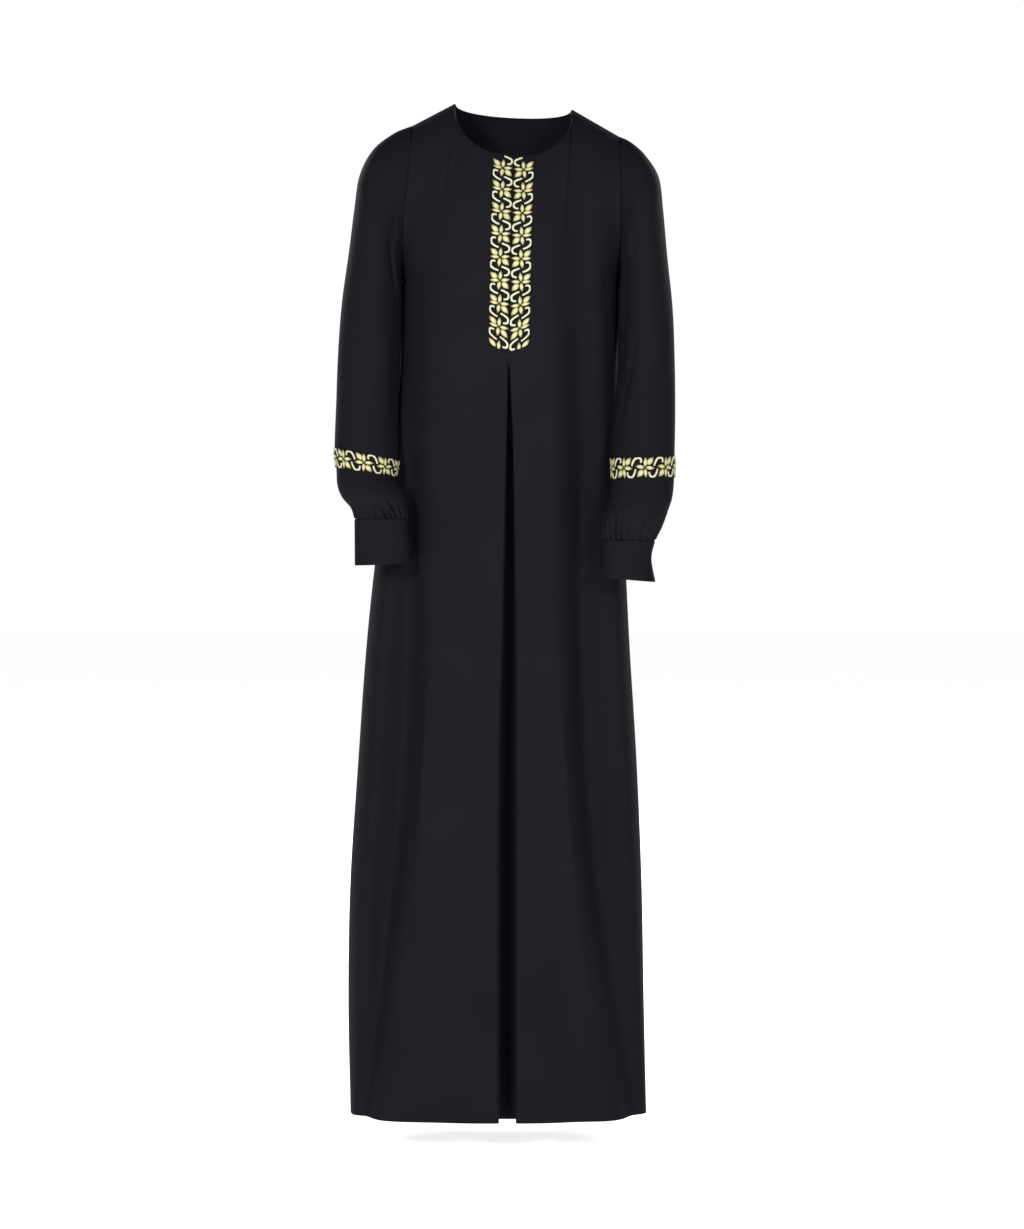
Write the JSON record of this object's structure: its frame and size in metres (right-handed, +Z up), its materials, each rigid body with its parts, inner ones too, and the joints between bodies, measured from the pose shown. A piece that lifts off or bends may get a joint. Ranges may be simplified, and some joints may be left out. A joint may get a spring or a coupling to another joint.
{
  "type": "abaya",
  "caption": "Full-length A-line abaya in worn form: round neck, long sleeves gathered into straight cuffs, leaf-pattern trims and a centre-front inverted pleat.",
  "frame": {"origin": "midway between the two neck points, where the wearer's shoulders carry the garment", "axes": "+Z up, -Y the front, +X the right of the picture, which is the wearer's left"},
  "size_m": [0.4644, 0.303, 1.382],
  "materials": {
    "cloth": "matt black crepe",
    "trim": "satin-stitched pale gold"
  },
  "bodies": {
    "root": {"front": "cloth", "back": "cloth", "sleeve_left": "cloth", "sleeve_right": "cloth", "cuff_left": "cloth", "cuff_right": "cloth", "front_trim_left": "trim", "front_trim_right": "trim", "sleeve_trim_left": "trim", "sleeve_trim_right": "trim"}
  },
  "joints": []
}
